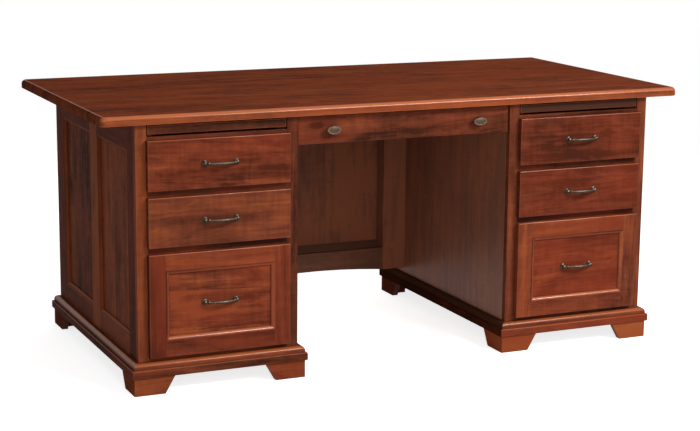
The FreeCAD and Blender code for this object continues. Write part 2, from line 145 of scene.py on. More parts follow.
class DeskColours(bpy.types.PropertyGroup):
    """Colours of the finishes"""

    stain_deep: colour("Stain, deep", "Stain in the darkest streaks", "#391d13")
    stain_body: colour("Stain, body", "Stain over most of the wood", "#6c3623")
    stain_bright: colour("Stain, bright", "Stain where the grain takes least of it", "#97502d")
    stain_red: colour("Stain, red", "Stain on the reddest boards", "#7a301d")
    # Painted shade: a greyer stain mixed into the boards that lie in shade.
    stain_shade_grey: colour("Stain, dull", "Stain on the boards that the light seldom reaches", "#7c5747")
    # Partly wear, partly a painted highlight: the lighter stain on rounded edges that face up or towards
    # the sitter.
    stain_rubbed_and_lit: colour("Stain, rubbed", "Stain rubbed thin on rounded edges", "#c4662c")
    maple_deep: colour("Maple, deep", "Darker grain of the drawer boxes", "#b98f5f")
    maple_body: colour("Maple, body", "Most of the drawer boxes' wood", "#d6b384")
    maple_bright: colour("Maple, bright", "Palest grain of the drawer boxes", "#e6cba0")
    # The hidden boards' dark brown is partly a sealer's colour and partly painted shade inside the cases.
    birch_deep: colour("Birch, deep", "Darker grain of the hidden boards", "#2e1d12")
    birch_body: colour("Birch, body", "Most of the hidden boards' wood", "#3f2a1b")
    birch_bright: colour("Birch, bright", "Palest grain of the hidden boards", "#523824")
    bronze_dark: colour("Bronze, dark", "Darkened bronze of the pulls", "#261b15")
    # Partly wear, partly a painted highlight: bright bronze on the pulls' upper side.
    bronze_worn_and_lit: colour("Bronze, worn", "Bronze rubbed bright on the pulls", "#93816f")
    pewter_grey: colour("Pewter", "Grey of the knobs", "#6e5b4d")
    pewter_dark: colour("Pewter, dark", "Tarnish in the knobs' hollows", "#41342b")
    zinc: colour("Zinc", "Plating of the drawer slides", "#c3c6c8")
    zinc_dull: colour("Zinc, dull", "Duller spangle in the plating", "#9a9ea2")
    floor: colour("Floor", "Studio floor", "#ececec")


class DeskStudio(bpy.types.PropertyGroup):
    """Camera and light of the studio"""

    camera_place: FloatVectorProperty(name="Camera place", description="Where the camera stands",
                                      default=(-2.1756, -4.8476, 1.4536),
                                      subtype="TRANSLATION", unit="LENGTH")
    camera_heading: angle("Heading", "Turn of the camera from +Y towards +X", 0.4231)
    camera_pitch: angle("Pitch", "How far the camera looks down", 0.2019)
    camera_roll: angle("Roll", "Turn of the camera about its line of sight", 0.0088)
    camera_lens: FloatProperty(name="Lens", description="Focal length on a 36 mm sensor", default=89.76,
                               subtype="DISTANCE_CAMERA", unit="CAMERA")
    key_power: power("Key", "Wide softbox above the front right", 155.0)
    fill_power: power("Fill", "Tall softbox before the left pedestal", 24.0)
    back_power: power("Back", "Low softbox behind the desk", 45.0)
    strip_power: power("Strip", "Long low softbox before the right pedestal", 9.0)
    surround: FloatProperty(name="Surround", description="Strength of the studio's even light",
                            default=0.22)


def body_of(node):
    """The CAD body that a node rides on."""
    return frame["nodes"][node]["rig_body"]


def piece_from(bm, name, material, body, nodes):
    """Make a bmesh a finished piece that rides on a body and stands for CAD nodes."""
    mesh = bpy.data.meshes.new(name)
    bm.to_mesh(mesh)
    bm.free()
    mesh.materials.append(material)
    piece = bpy.data.objects.new(name, mesh)
    bpy.context.scene.collection.objects.link(piece)
    even = piece.modifiers.new("Even shading", "WEIGHTED_NORMAL")
    even.keep_sharp = True
    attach(piece, body)
    if nodes:
        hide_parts(*nodes)


def solids_of(mesh):
    """Polygon numbers of each closed solid in a CAD mesh, whose triangles come solid by solid."""
    solids, current, open_edges = [], [], set()
    for polygon in mesh.polygons:
        corners = [tuple(round(c / WELD) for c in mesh.vertices[i].co) for i in polygon.vertices]
        for start, end in zip(corners, corners[1:] + corners[:1]):
            if (end, start) in open_edges:
                open_edges.remove((end, start))
            elif start != end:
                open_edges.add((start, end))
        current.append(polygon.index)
        if not open_edges:
            solids.append(current)
            current = []
    return solids


def merged_copy(node):
    """A copy of a CAD node's mesh with each solid's vertices merged, and the layer of solid numbers."""
    mesh = frame["nodes"][node].data
    bm = bmesh.new()
    bm.from_mesh(mesh)
    bm.faces.ensure_lookup_table()
    solid_layer = bm.faces.layers.int.new("solid")
    groups = [[bm.faces[i] for i in solid] for solid in solids_of(mesh)]
    for number, faces in enumerate(groups):
        for face in faces:
            face[solid_layer] = number
        corners = dict.fromkeys(vert for face in faces for vert in face.verts)
        bmesh.ops.remove_doubles(bm, verts=list(corners), dist=WELD)
    bmesh.ops.dissolve_limit(bm, angle_limit=FLAT, verts=bm.verts, edges=bm.edges)
    return bm, solid_layer


def box_of(verts):
    """The lowest and highest corner of the box round some vertices."""
    low = Vector([min(vert.co[axis] for vert in verts) for axis in range(3)])
    high = Vector([max(vert.co[axis] for vert in verts) for axis in range(3)])
    return low, high


def round_edges(bm, edges, radius, facets):
    """Round some edges over."""
    bmesh.ops.bevel(bm, geom=edges, offset=radius, offset_type="OFFSET", segments=facets, profile=0.5,
                    affect="EDGES", material=-1, clamp_overlap=True)


def round_front(bm, sizes):
    """Round the outline of a drawer front, on the side towards the sitter."""
    low, high = box_of(bm.verts)
    sides = ((0, low.x), (0, high.x), (2, low.z), (2, high.z))
    outline = []
    for edge in bm.edges:
        in_front = all(vert.co.y - low.y < TOUCH for vert in edge.verts)
        if in_front and any(all(abs(vert.co[axis] - limit) < TOUCH for vert in edge.verts)
                            for axis, limit in sides):
            outline.append(edge)
    round_edges(bm, outline, sizes.front_round, sizes.round_steps)


def ease_edges(bm, sizes):
    """Round the sharp edges a little, as sandpaper does."""
    sharp = [edge for edge in bm.edges if edge.is_manifold and edge.calc_face_angle() > CREASE]
    round_edges(bm, sharp, sizes.board_ease, sizes.ease_steps)


def mark_sharp(bm):
    """Smooth shading, broken at edges that stay sharp."""
    for face in bm.faces:
        face.smooth = True
    for edge in bm.edges:
        edge.smooth = edge.is_manifold and edge.calc_face_angle() < CREASE


# A face is wholly part of a rounded edge once its normal's largest part falls this far below 1.
FULLY_TURNED = 0.1
# Share of the wear and painted highlight on rounded edges that don't face up, and how soon it grows on
# those that do.
LEAST_WORN_AND_LIT = 0.3
WORN_AND_LIT_GROWTH = 2
# A normal's upward part is above LEVEL on level faces, and below UPRIGHT on an edge's upright band, which
# gets a small share of the sleeve wear and painted highlight.
LEVEL = 0.9
UPRIGHT = 0.02
BAND_WEAR_AND_LIGHT = 0.15


def mark_polish(bm, solid_layer, rubbed_share, flat_gloss, edge_gloss, sleeve_worn_and_lit, shaded_boards):
    """Store how thin the stain is rubbed and how glossy the lacquer is, on flat faces and rounded edges.

    Edges that face up, towards the light, are wiped, polished and lightened most: partly wear, partly a
    painted highlight. With sleeve wear it is instead the edge towards the sitter, and the ends, in shade,
    get none. Boards in shade, given by number, are never polished or lightened.
    """
    rubbed = bm.faces.layers.float.new("rubbed")
    gloss = bm.faces.layers.float.new("gloss")
    for face in bm.faces:
        if face[solid_layer] in shaded_boards:
            continue
        flatness = max(abs(part) for part in face.normal)
        turned = min((1 - flatness) / FULLY_TURNED, 1.0)
        if not sleeve_worn_and_lit:
            facing_up = min(max(WORN_AND_LIT_GROWTH * face.normal.z, 0.0), 1.0)
            turned *= LEAST_WORN_AND_LIT + (1 - LEAST_WORN_AND_LIT) * facing_up
        elif abs(face.normal.z) < LEVEL:
            upright = abs(face.normal.z) < UPRIGHT
            towards_sitter = max(-face.normal.y, 0.0) / face.normal.xy.length
            turned = (BAND_WEAR_AND_LIGHT if upright else turned) * towards_sitter
        face[rubbed] = rubbed_share * turned
        face[gloss] = flat_gloss + (edge_gloss - flat_gloss) * turned


# What chance gives each board: its place in the pattern along the grain, across it and from the pith, in
# metres, its tone and warmth beside the wood's own, where its planks start, and the slope of its grain.
GRAIN_START = (0, 60)
GRAIN_OFFSET = (-0.06, 0.06)
PITH_DEPTH = (0.04, 0.1)
TONE_CHANCE = (-0.1, 0.1)
WARMTH_CHANCE = (-0.2, 0.2)
PLANK_START = (0, 60)
GRAIN_SLOPE = (-0.05, 0.05)
# A board wider than this many planks is glued up from planks.
GLUED_UP_FROM = 1.4


def mark_grain(bm, solid_layer, node, sizes, along, tone, tones, warmth_and_shade_grey, figured, lip_shade=0.0):
    """Store each board's grain coordinates, look, plank spacing and strength of figure on its vertices.

    The lip is how much a board's edge towards the sitter is lightened or darkened, to paint the shade that
    falls on it.
    """
    grain = bm.verts.layers.float_vector.new("grain")
    board = bm.verts.layers.float_vector.new("board")
    plank = bm.verts.layers.float.new("plank")
    strength = bm.verts.layers.float.new("figured")
    corners = {}
    for face in bm.faces:
        corners.setdefault(face[solid_layer], set()).update(face.verts)
    chance = random.Random(node)
    for number in sorted(corners):
        verts = corners[number]
        low, high = box_of(verts)
        size = high - low
        axes = sorted("XYZ", key=lambda axis: (axis != along, -size["XYZ".index(axis)]))
        run, across, through = ["XYZ".index(axis) for axis in axes]
        middle = (low + high) / 2
        pith = Vector((chance.uniform(*GRAIN_START), chance.uniform(*GRAIN_OFFSET),
                       chance.uniform(*PITH_DEPTH)))
        own = tones[number] if number < len(tones) else 0.0
        look = Vector((tone + own + chance.uniform(*TONE_CHANCE), warmth_and_shade_grey + chance.uniform(*WARMTH_CHANCE),
                       chance.uniform(*PLANK_START)))
        slope = chance.uniform(*GRAIN_SLOPE)
        glued_up = size[across] > GLUED_UP_FROM * sizes.plank_width
        for vert in verts:
            place = vert.co - middle
            sloped = place[across] + slope * place[run]
            vert[grain] = Vector((place[run], sloped, place[through])) + pith
            at_lip = place.y + size.y / 2 < TOUCH
            # Painted shade on the edge towards the sitter.
            vert[board] = look + Vector((lip_shade if at_lip else 0.0, 0, 0))
            vert[plank] = 1 / sizes.plank_width if glued_up else 0.0
            vert[strength] = figured
    bm.faces.layers.int.remove(solid_layer)


def add_node(tree, kind, settings, inputs):
    """Add a node with its settings, and link or set its inputs."""
    node = tree.nodes.new(kind)
    for name, value in settings.items():
        setattr(node, name, value)
    for key, value in inputs.items():
        if isinstance(value, bpy.types.NodeSocket):
            tree.links.new(value, node.inputs[key])
        else:
            node.inputs[key].default_value = value
    return node


def calc(tree, operation, *values, clamp=False):
    """What a Math node makes of some numbers."""
    settings = {"operation": operation, "use_clamp": clamp}
    return add_node(tree, "ShaderNodeMath", settings, dict(enumerate(values))).outputs[0]


def vector_calc(tree, operation, *values):
    """What a Vector Math node makes of some vectors."""
    settings = {"operation": operation}
    return add_node(tree, "ShaderNodeVectorMath", settings, dict(enumerate(values))).outputs[0]


def mix(tree, share, first, second):
    """A share of the second colour in the first."""
    inputs = {0: share, 6: first, 7: second}
    return add_node(tree, "ShaderNodeMix", {"data_type": "RGBA"}, inputs).outputs[2]


def stored(tree, name, output="Fac"):
    """What the meshes store under a name."""
    return add_node(tree, "ShaderNodeAttribute", {"attribute_name": name}, {}).outputs[output]


def new_material(name):
    """An empty material with a Principled shader, its tree and that shader."""
    material = bpy.data.materials.new(name)
    material.use_nodes = True
    tree = material.node_tree
    tree.nodes.clear()
    shader = add_node(tree, "ShaderNodeBsdfPrincipled", {}, {})
    add_node(tree, "ShaderNodeOutputMaterial", {}, {"Surface": shader.outputs["BSDF"]})
    return material, tree, shader


# The figure's patterns: length along the grain and width across it in mm, detail, and swirl.
FIGURE = {
    "streak": (700, 20, 3.0, 0.0),
    "fibre": (120, 3.0, 2.0, 0.0),
    "blotch": (230, 60, 4.0, 1.2),
    "mottle": (70, 18, 3.0, 0.8),
    "cloud": (420, 170, 2.0, 0.6),
    "curl": (14, 90, 1.0, 0.4),
}
# How strongly each pattern shows, and how dark a knot is.
STAINED_FIGURE = {"streak": 0.75, "fibre": 0.2, "blotch": 0.75, "mottle": 0.45, "cloud": 0.7, "curl": 0.22,
                  "plank": 0.14, "knot": -0.4}
PLAIN_FIGURE = {"streak": 0.9, "fibre": 0.35, "blotch": 0.2, "mottle": 0.1, "cloud": 0.2, "curl": 0.1,
                "plank": 0.2, "knot": -0.2}
# Each glued-up plank has its own stretch of figure, up to this far off in metres.
PLANK_SHIFT = (40.0, 0.5, 0.5)
# The fibres wander by some millimetres over half a metre.
WANDER_SIZE = (520 * MM, 160 * MM, 160 * MM)
WANDER_BEND = (0.0, 34 * MM, 34 * MM)
# Knots lie about half a metre apart along the grain, and show where a board's face cuts through one.
KNOT_SPACING = (420 * MM, 170 * MM, 170 * MM)
KNOT_EDGE = (0.02, 0.09)


def wood_pattern(tree, strengths):
    """Lightness of the figure, 0.5 on average, its parts and the redness, which also sets painted shade,
    from the boards' coordinates.
    """
    grain = stored(tree, "grain", "Vector")
    board = stored(tree, "board", "Vector")
    spacing = stored(tree, "plank")
    figured = stored(tree, "figured")
    place = add_node(tree, "ShaderNodeSeparateXYZ", {}, {0: grain})
    look = add_node(tree, "ShaderNodeSeparateXYZ", {}, {0: board})
    count = calc(tree, "MULTIPLY_ADD", place.outputs["Y"], spacing, look.outputs["Z"])
    number = calc(tree, "FLOOR", count)
    plank = add_node(tree, "ShaderNodeTexWhiteNoise", {"noise_dimensions": "1D"}, {"W": number})
    shift = vector_calc(tree, "MULTIPLY", plank.outputs["Color"], PLANK_SHIFT)
    moved = vector_calc(tree, "ADD", grain, shift)
    slow = vector_calc(tree, "DIVIDE", moved, WANDER_SIZE)
    wander = add_node(tree, "ShaderNodeTexNoise", {}, {"Vector": slow, "Scale": 1.0, "Detail": 1.0})
    centred = vector_calc(tree, "SUBTRACT", wander.outputs["Color"], (0.5, 0.5, 0.5))
    bend = vector_calc(tree, "MULTIPLY", centred, WANDER_BEND)
    fibres = vector_calc(tree, "ADD", moved, bend)
    parts = {"plank": plank.outputs["Value"]}
    for name, (run, width, detail, swirl) in FIGURE.items():
        scaled = vector_calc(tree, "DIVIDE", fibres, (run * MM, width * MM, width * MM))
        noise = add_node(tree, "ShaderNodeTexNoise", {},
                         {"Vector": scaled, "Scale": 1.0, "Detail": detail, "Roughness": 0.6,
                          "Distortion": swirl})
        parts[name] = noise.outputs["Fac"]
    total = 0.0
    for name, value in parts.items():
        lowered = calc(tree, "SUBTRACT", value, 0.5)
        total = calc(tree, "MULTIPLY_ADD", lowered, strengths[name], total)
    toned = calc(tree, "MULTIPLY_ADD", total, figured, look.outputs["X"])
    spread = vector_calc(tree, "DIVIDE", fibres, KNOT_SPACING)
    knots = add_node(tree, "ShaderNodeTexVoronoi", {}, {"Vector": spread, "Scale": 1.0})
    knot = add_node(tree, "ShaderNodeMapRange", {"interpolation_type": "SMOOTHSTEP"},
                    {"Value": knots.outputs["Distance"], "From Min": KNOT_EDGE[0], "From Max": KNOT_EDGE[1],
                     "To Min": strengths["knot"], "To Max": 0.0})
    darkened = calc(tree, "ADD", toned, knot.outputs[0])
    return calc(tree, "ADD", darkened, 0.5), parts, look.outputs["Y"]


# Lightness at which the figure shows each of its three colours unmixed.
DEEP_AT = 0.1
BODY_AT = 0.5
BRIGHT_AT = 0.95


def wood_colour(tree, figure, deep, body, bright):
    """Run the figure through three colours, from deep through body to bright."""
    low = add_node(tree, "ShaderNodeMapRange", {},
                   {"Value": figure, "From Min": DEEP_AT, "From Max": BODY_AT})
    dark = mix(tree, low.outputs[0], deep, body)
    high = add_node(tree, "ShaderNodeMapRange", {},
                    {"Value": figure, "From Min": BODY_AT, "From Max": BRIGHT_AT})
    return mix(tree, high.outputs[0], dark, bright)


def surface(tree, shader, fibre, roughness, ridges):
    """Let the fibre vary the roughness between two values, and raise faint ridges under the finish."""
    rough = add_node(tree, "ShaderNodeMapRange", {},
                     {"Value": fibre, "To Min": roughness[0], "To Max": roughness[1]})
    tree.links.new(rough.outputs[0], shader.inputs["Roughness"])
    relief = add_node(tree, "ShaderNodeBump", {}, {"Height": fibre, "Strength": 0.25, "Distance": ridges})
    tree.links.new(relief.outputs[0], shader.inputs["Normal"])


# Share of the reddest stain, from the clouds: growth and start. Boards less warm than this are greyed as
# painted shade.
CLOUD_REDNESS = (1.4, -0.5)
SHADE_GREY_BELOW = -0.2
# Share of the stain that is gone where it is rubbed thinnest; that lighter stain is partly wear and partly
# a painted highlight.
RUBBED_THIN = 0.75
# Blur of what the lacquer mirrors, on solid wood and on veneer.
SATIN_HAZE = 0.2
DULL_HAZE = 0.42


def stained_hardwood(name, colours, haze):
    """Brown maple under a red-brown wiping stain and rubbed lacquer.

    The stain takes unevenly, so boards differ, clouds and streaks run along them and curl ripples across
    them. It is rubbed thin on rounded edges, where the lacquer is polished and shines; that lighter stain
    is also a painted highlight, and boards in shade are greyed as painted shade.
    """
    material, tree, shader = new_material(name)
    figure, parts, warmth_and_shade_grey = wood_pattern(tree, STAINED_FIGURE)
    stained = wood_colour(tree, figure, colours.stain_deep, colours.stain_body, colours.stain_bright)
    patchy = calc(tree, "MULTIPLY_ADD", parts["cloud"], *CLOUD_REDNESS)
    redness = calc(tree, "ADD", patchy, warmth_and_shade_grey, clamp=True)
    redder = mix(tree, redness, stained, colours.stain_red)
    # Painted shade: the least warm boards, those that lie in shade, are greyed towards the shade-grey
    # stain.
    shade_greying = calc(tree, "MULTIPLY_ADD", warmth_and_shade_grey, -1.0, SHADE_GREY_BELOW, clamp=True)
    mixed = mix(tree, shade_greying, redder, colours.stain_shade_grey)
    # Painted highlight as well as wear: rounded edges take the lighter rubbed stain.
    thin = calc(tree, "MULTIPLY", stored(tree, "rubbed"), RUBBED_THIN)
    worn = mix(tree, thin, mixed, colours.stain_rubbed_and_lit)
    tree.links.new(worn, shader.inputs["Base Color"])
    surface(tree, shader, parts["fibre"], roughness=(0.36, 0.5), ridges=0.15 * MM)
    tree.links.new(stored(tree, "gloss"), shader.inputs["Coat Weight"])
    shader.inputs["Specular IOR Level"].default_value = 0.0
    shader.inputs["Coat Roughness"].default_value = haze
    return material


def plain_wood(name, deep, body, bright):
    """Clear-coated or sealed wood, planed smooth: quiet figure and hardly any gloss."""
    material, tree, shader = new_material(name)
    figure, parts, _ = wood_pattern(tree, PLAIN_FIGURE)
    tree.links.new(wood_colour(tree, figure, deep, body, bright), shader.inputs["Base Color"])
    surface(tree, shader, parts["fibre"], roughness=(0.42, 0.6), ridges=0.2 * MM)
    shader.inputs["Specular IOR Level"].default_value = 0.3
    return material


# Share of bright metal in the brightest patches, and how much of it is left on metal that hands rub.
BRIGHT_PATCH = 0.6
PATCH_LEFT = 0.35


def mottled_metal(name, dull, bright, patch, roughness, worn=None):
    """Cast or plated metal with patches of tarnish, and rubbed bright where an attribute says so."""
    material, tree, shader = new_material(name)
    place = add_node(tree, "ShaderNodeTexCoord", {}, {}).outputs["Object"]
    noise = add_node(tree, "ShaderNodeTexNoise", {},
                     {"Vector": place, "Scale": 1 / patch, "Detail": 4.0, "Roughness": 0.6})
    cloud = noise.outputs["Fac"]
    share = add_node(tree, "ShaderNodeMapRange", {},
                     {"Value": cloud, "From Min": 0.35, "From Max": 0.7, "To Max": BRIGHT_PATCH}).outputs[0]
    if worn:
        share = calc(tree, "MULTIPLY_ADD", share, PATCH_LEFT, stored(tree, worn), clamp=True)
    tree.links.new(mix(tree, share, dull, bright), shader.inputs["Base Color"])
    rough = add_node(tree, "ShaderNodeMapRange", {},
                     {"Value": cloud, "To Min": roughness + 0.12, "To Max": roughness - 0.08})
    tree.links.new(rough.outputs[0], shader.inputs["Roughness"])
    dimple = add_node(tree, "ShaderNodeBump", {}, {"Height": cloud, "Strength": 0.2, "Distance": 0.2 * MM})
    tree.links.new(dimple.outputs[0], shader.inputs["Normal"])
    shader.inputs["Metallic"].default_value = 1.0
    return material


# Metals: size of the patches of tarnish, and roughness.
BRONZE_CAST = (6 * MM, 0.4)
PEWTER_CAST = (7 * MM, 0.45)
ZINC_PLATE = (9 * MM, 0.34)


def finish(name):
    """One of the desk's finishes, made the first time that it is asked for."""
    colours = bpy.context.scene.desk_colours
    maple = (colours.maple_deep, colours.maple_body, colours.maple_bright)
    birch = (colours.birch_deep, colours.birch_body, colours.birch_bright)
    bronze = (colours.bronze_dark, colours.bronze_worn_and_lit, *BRONZE_CAST)
    pewter = (colours.pewter_dark, colours.pewter_grey, *PEWTER_CAST)
    makers = {
        "stained_maple_satin_lacquer": lambda: stained_hardwood(name, colours, SATIN_HAZE),
        "stained_veneer_dull_lacquer": lambda: stained_hardwood(name, colours, DULL_HAZE),
        "maple_clear_coated": lambda: plain_wood(name, *maple),
        "birch_brown_sealed": lambda: plain_wood(name, *birch),
        "bronze_cast_darkened": lambda: mottled_metal(name, *bronze, worn="rubbed"),
        "pewter_cast_satin": lambda: mottled_metal(name, *pewter, worn="rubbed"),
        "steel_zinc_plated": lambda: mottled_metal(name, colours.zinc_dull, colours.zinc, *ZINC_PLATE),
    }
    return bpy.data.materials.get(name) or makers[name]()


# Woods: the finish and the slot.
STAINED = ("stained_maple_satin_lacquer", "stained_wood")
VENEERED = ("stained_veneer_dull_lacquer", "stained_wood")
BOX_WOOD = ("maple_clear_coated", "drawer_wood")
HIDDEN_WOOD = ("birch_brown_sealed", "case_wood")

# Boards made lighter or darker than their neighbours: the stiles first, then the rails from below. On the
# face frames the rails, and the left frame's kneehole stile, are darkened as painted shade.
FACE_FRAME_TONES = {"left": (0.28, -0.3, -0.2, -0.25, -0.25, -0.2),
                    "right": (0.0, 0.0, -0.2, -0.25, -0.25, -0.2)}
FILE_FRAME_TONES = {"left": (-0.22, -0.16, -0.04, 0.2), "right": (0.0, 0.3, 0.0, 0.0)}
# Painted shade and light on the outer side frames: the first board is darkened and the second lightened.
SIDE_FRAME_TONES = (-0.4, 0.5)
SIDE_PANEL_TONES = (0.14, -0.1)
# The feet, two boards and a block each: outer front, outer back, kneehole front, kneehole back. The back
# feet's boards are darkened as painted shade.
FOOT_TONES = {"left": (0.18, 0.18, 0.0, -0.3, -0.3, 0.0, 0.18, 0.18, 0.0, -0.5, -0.5, 0.0),
              "right": (0.7, 0.7, 0.0, -0.3, -0.3, 0.0, 0.7, 0.7, 0.0, -0.5, -0.5, 0.0)}
# Painted shade from the top's overhang, on the edge of a writing board that shows when it is in.
BOARD_LIP_SHADE = {"left": -0.45, "right": -0.6}
# A file drawer's panel, then its beads: kneehole side, outer side, top, bottom. The top and left-hand beads
# are darkened and the bottom and right-hand ones lightened, as painted shade and light.
FILE_PANEL_TONES = {"left": (0.06, 0.25, -0.3, -0.35, 0.3), "right": (-0.16, -0.3, 0.25, -0.35, 0.3)}
# A base's boards: kneehole, outer side, back, front. The first lies in shade: it is darkened as painted
# shade and gets no lighter rubbed stain or gloss.
BASE_TONES = (-0.45, 0.0, 0.0, 0.0)
SHADED_BASE = (0,)
# The small drawers' fronts: tone, and strength of figure.
DRAWER_LOOKS = {"left_upper": (-0.12, 1.7), "left_lower": (0.03, 1.05),
                "right_upper": (-0.1, 1.4), "right_lower": (-0.19, 1.7)}


def boards(node, wood, eased=True, rounded=False, along=None, tone=0.0, tones=(), warmth_and_shade_grey=0.0, figured=1.0,
           lip_shade=0.0, rubbed=0.2, gloss=0.04, edge_gloss=0.5, sleeve_worn_and_lit=False, shaded_boards=()):
    """Finish the boards of one CAD node in one of the desk's woods.

    The grain runs the long way unless an axis is given. Tone lightens all the boards, tones single ones.
    """
    sizes = bpy.context.scene.desk_sizes
    material, slot = wood
    bm, solid_layer = merged_copy(node)
    if rounded:
        round_front(bm, sizes)
    if eased:
        ease_edges(bm, sizes)
    mark_sharp(bm)
    mark_polish(bm, solid_layer, rubbed, gloss, edge_gloss, sleeve_worn_and_lit, shaded_boards)
    mark_grain(bm, solid_layer, node, sizes, along, tone, tones, warmth_and_shade_grey, figured, lip_shade)
    piece_from(bm, node + "_finished", finish(material), body_of(node), [node])


def lathe(bm, profile, centre):
    """Turn a profile of (radius, reach) points about a line through centre that runs towards the sitter."""
    before = set(bm.verts)
    points = [bm.verts.new(centre + Vector((radius, -reach, 0))) for radius, reach in profile]
    edges = [bm.edges.new(pair) for pair in zip(points, points[1:])]
    bmesh.ops.spin(bm, geom=points + edges, cent=centre, axis=(0, 1, 0), angle=2 * math.pi,
                   steps=TURNED_STEPS, use_merge=True)
    turned = [vert for vert in bm.verts if vert not in before]
    bmesh.ops.remove_doubles(bm, verts=turned, dist=TOUCH)
    return [vert for vert in bm.verts if vert not in before]


class DESK_OT_work_top(bpy.types.Operator):
    """Lay the glued-up top with its round-over"""

    bl_idname = "desk.work_top"
    bl_label = "Work top"

    def execute(self, context):
        boards("desk_top", STAINED, eased=False, tone=0.2, figured=1.15, rubbed=0.9, gloss=0.008,
               edge_gloss=0.7, sleeve_worn_and_lit=True)
        return {"FINISHED"}


class DESK_OT_case_sides(bpy.types.Operator):
    """Finish the framed outer sides and the plain kneehole sides"""

    bl_idname = "desk.case_sides"
    bl_label = "Case sides"

    def execute(self, context):
        for side in SIDES:
            boards(side + "_outer_side_frame", STAINED, tones=SIDE_FRAME_TONES)
            boards(side + "_outer_side_panels", STAINED, tones=SIDE_PANEL_TONES, figured=1.4)
            boards(side + "_outer_side_beads", STAINED, eased=False, rubbed=0.5, edge_gloss=0.1)
            # The kneehole sides are lightened and greyed as painted light and sheen on wood in shade.
            boards(side + "_inner_side", VENEERED, along="Z", tone=0.22, warmth_and_shade_grey=-0.55, figured=1.4,
                   gloss=0.42)
        return {"FINISHED"}


class DESK_OT_case_fronts_and_backs(bpy.types.Operator):
    """Finish the face frames and the framed backs"""

    bl_idname = "desk.case_fronts_and_backs"
    bl_label = "Face frames and backs"

    def execute(self, context):
        for side in SIDES:
            # Painted shade on the face frames' rails and the left kneehole stile.
            boards(side + "_face_frame", STAINED, tones=FACE_FRAME_TONES[side])
            # The backs are lightened and greyed towards the painted shade grey, as the kneehole boards are.
            boards(side + "_back_frame", STAINED, tone=0.2, warmth_and_shade_grey=-0.5)
            boards(side + "_back_panel", STAINED, tone=0.2, warmth_and_shade_grey=-0.55)
        return {"FINISHED"}


class DESK_OT_bases(bpy.types.Operator):
    """Finish the aprons, their beads and the bracket feet"""

    bl_idname = "desk.bases"
    bl_label = "Bases"

    def execute(self, context):
        for side in SIDES:
            # The kneehole board of each base is darkened as painted shade.
            boards(side + "_base_apron", STAINED, eased=False, tones=BASE_TONES, warmth_and_shade_grey=-0.2, rubbed=0.6,
                   gloss=0.08, edge_gloss=0.5, shaded_boards=SHADED_BASE)
            boards(side + "_base_bead", STAINED, eased=False, tone=-0.12, tones=BASE_TONES, rubbed=0.4,
                   edge_gloss=0.2, shaded_boards=SHADED_BASE)
            boards(side + "_bracket_feet", STAINED, tones=FOOT_TONES[side], warmth_and_shade_grey=0.2, gloss=0.01)
        return {"FINISHED"}


class DESK_OT_case_insides(bpy.types.Operator):
    """Finish the sealed boards inside the cases"""

    bl_idname = "desk.case_insides"
    bl_label = "Case insides"

    def execute(self, context):
        for node in ("case_bottoms", "writing_board_guides", "slide_cleats"):
            boards(node, HIDDEN_WOOD)
        return {"FINISHED"}


class DESK_OT_modesty(bpy.types.Operator):
    """Finish the kneehole's back, with a sloping strip along the foot of its panel"""

    bl_idname = "desk.modesty"
    bl_label = "Modesty panel"

    def execute(self, context):
        # Inside the kneehole the frame and panel are lightened and greyed, and the arched rail darkened and
        # greyed, as painted light and shade.
        boards("modesty_frame", STAINED, tone=0.55, warmth_and_shade_grey=-0.85, figured=1.6)
        boards("modesty_arched_rail", STAINED, tone=-0.45, warmth_and_shade_grey=-0.6)
        boards("modesty_panel", STAINED, along="Z", tone=0.3, warmth_and_shade_grey=-0.78, figured=1.9)
        self.lay_sill(context.scene.desk_sizes)
        return {"FINISHED"}

    def lay_sill(self, sizes):
        """Lay a strip in the corner of the panel and the ledge under it, sloping towards the sitter."""
        rail_low, rail_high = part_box("modesty_arched_rail")
        corner = Vector((rail_low.x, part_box("modesty_panel")[0].y, rail_high.z))
        profile = [(0, 0), (sizes.sill_depth, 0), (sizes.sill_depth, sizes.sill_lip),
                   (sizes.sill_lip, sizes.sill_height), (0, sizes.sill_height)]
        bm = bmesh.new()
        end = bm.faces.new([bm.verts.new(corner + Vector((0, -out, up))) for out, up in profile])
        drawn = bmesh.ops.extrude_face_region(bm, geom=[end])["geom"]
        bmesh.ops.translate(bm, vec=(rail_high.x - rail_low.x, 0, 0),
                            verts=[part for part in drawn if isinstance(part, bmesh.types.BMVert)])
        bmesh.ops.recalc_face_normals(bm, faces=bm.faces)
        solid_layer = bm.faces.layers.int.new("solid")
        mark_sharp(bm)
        mark_polish(bm, solid_layer, rubbed_share=0.0, flat_gloss=0.0, edge_gloss=0.0, sleeve_worn_and_lit=False,
                    shaded_boards=())
        name = "modesty_sill"
        # The sill is darkened and greyed as painted shade along the foot of the panel.
        mark_grain(bm, solid_layer, name, sizes, along="X", tone=-0.6, tones=(), warmth_and_shade_grey=-0.7, figured=0.5)
        material, slot = STAINED
        piece_from(bm, name + "_finished", finish(material), body_of("modesty_panel"), [])


class DESK_OT_writing_boards(bpy.types.Operator):
    """Finish the pull-out writing boards"""

    bl_idname = "desk.writing_boards"
    bl_label = "Writing boards"

    def execute(self, context):
        for side in SIDES:
            # The writing boards' edges carry painted shade, and the boards are a little greyed towards the
            # shade grey.
            boards(side + "_writing_board", STAINED, along="X", lip_shade=BOARD_LIP_SHADE[side], warmth_and_shade_grey=-0.3)
        return {"FINISHED"}


